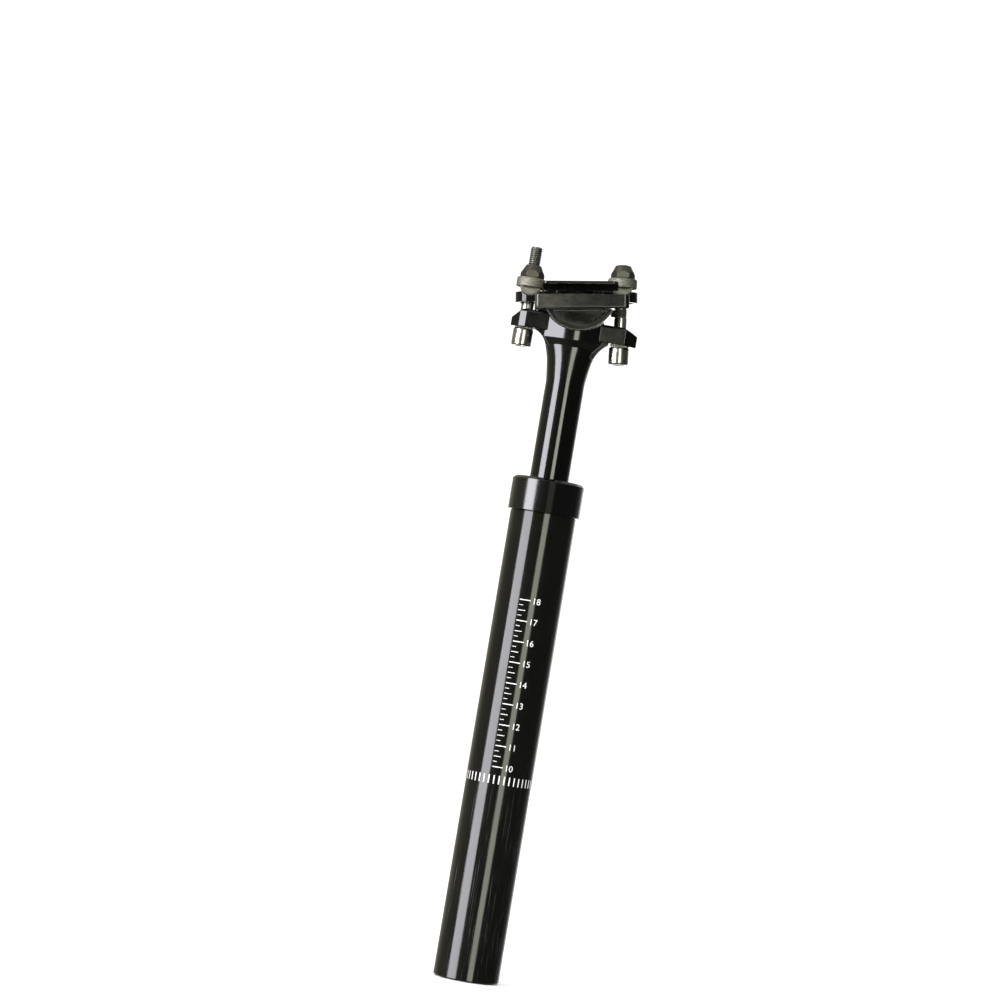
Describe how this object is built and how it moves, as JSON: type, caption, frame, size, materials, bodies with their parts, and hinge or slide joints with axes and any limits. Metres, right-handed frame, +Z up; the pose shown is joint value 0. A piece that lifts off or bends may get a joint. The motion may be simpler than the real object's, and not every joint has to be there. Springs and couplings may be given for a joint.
{
  "type": "suspension seatpost",
  "caption": "Telescoping bicycle seatpost: a spring-loaded shaft slides in a round tube through a screwed collar and carries a tilting clamp head for saddle rails.",
  "frame": {"origin": "centre of the tube's lower edge, on the post's axis", "axes": "+Z up along the post's axis, +X towards the front of the bicycle, +Y to its left"},
  "size_m": [0.0614, 0.054, 0.35],
  "materials": {
    "black_tube": "gloss black anodised drawn tube",
    "black_collar": "gloss black anodised, turned",
    "black_forging": "polished black anodised forging",
    "black_clamp": "satin black anodised forging",
    "plain_alloy": "turned, clear anodised",
    "plated_steel": "bright zinc-nickel plated steel",
    "spring_steel": "phosphated spring wire",
    "key_brass": "milled",
    "seal_rubber": "moulded",
    "bush_plastic": "moulded acetal"
  },
  "bodies": {
    "tube": {"outer_tube": "black_tube", "collar_nut": "black_collar", "wiper_seal": "seal_rubber", "upper_bushing": "bush_plastic"},
    "shaft": {"inner_shaft": "black_forging", "guide_bush": "bush_plastic", "shaft_keys": "key_brass", "top_out_bumper": "seal_rubber", "shaft_end_plug": "plain_alloy", "spring_seat_upper": "bush_plastic"},
    "clamp": {"lower_cradle": "black_clamp", "upper_clamp": "black_clamp"},
    "front_screw": {"front_bolt": "plated_steel", "front_bolt_washer": "plated_steel"},
    "rear_screw": {"rear_bolt": "plated_steel", "rear_bolt_washer": "plated_steel"},
    "front_nut_stack": {"front_nut": "plated_steel", "front_nut_seat": "plated_steel"},
    "rear_nut_stack": {"rear_nut": "plated_steel", "rear_nut_seat": "plated_steel"},
    "preload_carrier": {"spring_seat_lower": "bush_plastic", "elastomer_core": "seal_rubber", "main_spring": "spring_steel"},
    "preload_screw": {"preload_plug": "plain_alloy"}
  },
  "joints": [
    {"name": "suspension_slide", "type": "slide", "parent": "tube", "child": "shaft", "axis": [0, 0, 1], "range_m": [-0.04, 0], "stiffness_N_per_m": 17000, "springref_m": 0.005, "deforming": ["main_spring"]},
    {"name": "clamp_tilt", "type": "hinge", "parent": "shaft", "child": "clamp", "pos_m": [0, 0, 0.3304], "axis": [0, 1, 0], "range_deg": [-14, 3]},
    {"name": "front_bolt_lean", "type": "hinge", "parent": "shaft", "child": "front_screw", "pos_m": [0.024, 0, 0.3102], "axis": [0, 1, 0], "range_deg": [-1.8, 0.45]},
    {"name": "rear_bolt_lean", "type": "hinge", "parent": "shaft", "child": "rear_screw", "pos_m": [-0.0226, 0, 0.3087], "axis": [0, 1, 0], "range_deg": [-2.15, 0.55]},
    {"name": "front_nut_travel", "type": "slide", "parent": "front_screw", "child": "front_nut_stack", "axis": [0, 0, 1], "range_m": [-0.0014, 0.006]},
    {"name": "rear_nut_travel", "type": "slide", "parent": "rear_screw", "child": "rear_nut_stack", "axis": [0.108, 0, 0.9942], "range_m": [-0.0052, 0.0012]},
    {"name": "preload_lift", "type": "slide", "parent": "tube", "child": "preload_carrier", "axis": [0, 0, 1], "range_m": [0, 0.01]},
    {"name": "preload_turn", "type": "hinge", "parent": "preload_carrier", "child": "preload_screw", "pos_m": [0, 0, 0.002], "axis": [0, 0, 1], "range_deg": [0, 2402]}
  ],
  "couplings": [
    {"joint": "front_bolt_lean", "follows": "clamp_tilt", "ratio": 0.1232},
    {"joint": "rear_bolt_lean", "follows": "clamp_tilt", "ratio": 0.1456},
    {"joint": "front_nut_travel", "follows": "clamp_tilt", "m_per_rad": -0.0238},
    {"joint": "rear_nut_travel", "follows": "clamp_tilt", "m_per_rad": 0.02048},
    {"joint": "preload_turn", "follows": "preload_lift", "rad_per_m": 4188.8}
  ]
}
